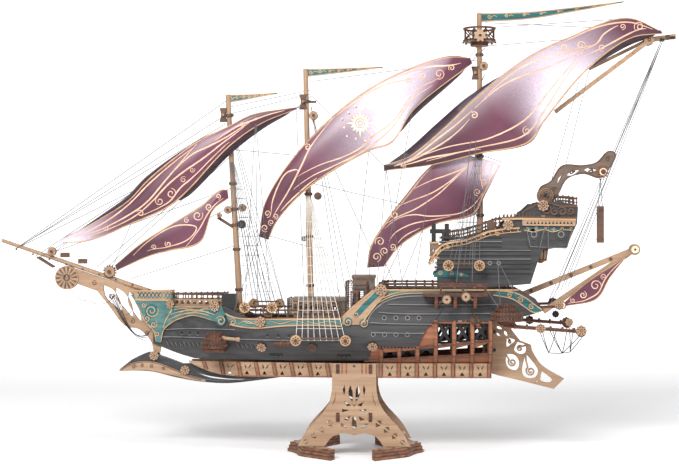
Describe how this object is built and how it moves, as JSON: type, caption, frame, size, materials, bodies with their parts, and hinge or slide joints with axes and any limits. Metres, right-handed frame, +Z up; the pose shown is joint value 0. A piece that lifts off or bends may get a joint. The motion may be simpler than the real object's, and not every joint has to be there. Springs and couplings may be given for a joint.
{
  "type": "wooden 3d jigsaw ship",
  "caption": "Laser-cut plywood jigsaw model of a three-masted ship on a cut stand, with printed sails, thread rigging, disc turrets and a stern crane.",
  "frame": {"origin": "centre of the object's box at the surface that the stand's feet rest on", "axes": "+X towards the stern, +Y towards starboard, +Z up"},
  "size_m": [0.635, 0.139, 0.421],
  "materials": {
    "tan_ply": "satin, laser-cut edges burnt dark",
    "dark_ply": "satin charcoal print with pale engraved lines",
    "brown_ply": "satin, reddish-brown burnt edges",
    "painted_trim": "satin print, teal with pale gold lines",
    "printed_sail": "pearlescent stiff sheet, purple with gold-pink scrolls",
    "thread": "matt twisted thread"
  },
  "bodies": {
    "ship": {"bow_trim_port": "painted_trim", "bow_trim_starboard": "painted_trim", "bowsprit": "tan_ply", "castle_deck": "dark_ply", "castle_side_port": "dark_ply", "castle_side_starboard": "dark_ply", "castle_transom": "dark_ply", "crane_drum": "tan_ply", "crows_nest": "tan_ply", "deck_fore": "tan_ply", "deck_main": "tan_ply", "deck_quarter": "tan_ply", "deckhouse": "brown_ply", "figurehead": "tan_ply", "frame_gallery": "tan_ply", "frame_stand_aft": "tan_ply", "frame_stand_fore": "tan_ply", "frame_stern": "tan_ply", "gallery_band_port": "tan_ply", "gallery_band_starboard": "tan_ply", "gallery_windows_port": "brown_ply", "gallery_windows_starboard": "brown_ply", "hull_side_port": "dark_ply", "hull_side_starboard": "dark_ply", "keel_plate": "tan_ply", "keel_spine": "tan_ply", "mast_fore": "tan_ply", "mast_main": "tan_ply", "mast_mizzen": "tan_ply", "mizzen_boom": "tan_ply", "outrigger_frame": "brown_ply", "quarter_house": "brown_ply", "ram": "dark_ply", "ratlines_fore": "thread", "ratlines_main": "thread", "ratlines_mizzen": "thread", "sail_fore_upper": "printed_sail", "sail_jib": "printed_sail", "sail_main_upper": "printed_sail", "sail_mizzen_lower": "printed_sail", "sail_mizzen_top": "printed_sail", "sail_spanker": "printed_sail", "spanker_yard": "tan_ply", "stand_foot_aft": "tan_ply", "stand_foot_fore": "tan_ply", "stand_plate_port": "tan_ply", "stand_plate_starboard": "tan_ply", "stand_tie_aft": "tan_ply", "stand_tie_fore": "tan_ply", "stays_aft": "thread", "stays_bow": "thread", "stern_fin": "tan_ply", "winch_platform": "brown_ply"},
    "crane_arm": {"crane_arm": "tan_ply"},
    "crane_sprocket": {"crane_sprocket": "brown_ply"},
    "crane_weight": {"crane_weight": "brown_ply"},
    "turret_fore_port": {"turret_fore_port": "brown_ply"},
    "turret_fore_starboard": {"turret_fore_starboard": "brown_ply"},
    "turret_aft_port": {"turret_aft_port": "brown_ply"},
    "turret_aft_starboard": {"turret_aft_starboard": "brown_ply"}
  },
  "joints": [
    {"name": "crane_luff", "type": "hinge", "parent": "ship", "child": "crane_arm", "pos_m": [0.19699, 0, 0.2403], "axis": [0, 1, 0], "range_deg": [-20, 15]},
    {"name": "sprocket_spin", "type": "hinge", "parent": "crane_arm", "child": "crane_sprocket", "pos_m": [0.24999, 0, 0.2623], "axis": [0, 1, 0], "continuous": true},
    {"name": "weight_swing", "type": "hinge", "parent": "crane_arm", "child": "crane_weight", "pos_m": [0.24739, -0.003, 0.2553], "axis": [0, 1, 0], "range_deg": [-15, 15]},
    {"name": "turret_fore_port_swivel", "type": "hinge", "parent": "ship", "child": "turret_fore_port", "pos_m": [-0.10841, -0.03983, 0.1], "axis": [0, 0, 1], "range_deg": [-60, 8]},
    {"name": "turret_fore_starboard_swivel", "type": "hinge", "parent": "ship", "child": "turret_fore_starboard", "pos_m": [-0.10841, 0.03983, 0.1], "axis": [0, 0, 1], "range_deg": [-8, 60]},
    {"name": "turret_aft_port_swivel", "type": "hinge", "parent": "ship", "child": "turret_aft_port", "pos_m": [0.15759, -0.05452, 0.1263], "axis": [0, 0, 1], "continuous": true},
    {"name": "turret_aft_starboard_swivel", "type": "hinge", "parent": "ship", "child": "turret_aft_starboard", "pos_m": [0.15759, 0.05452, 0.1263], "axis": [0, 0, 1], "continuous": true}
  ]
}
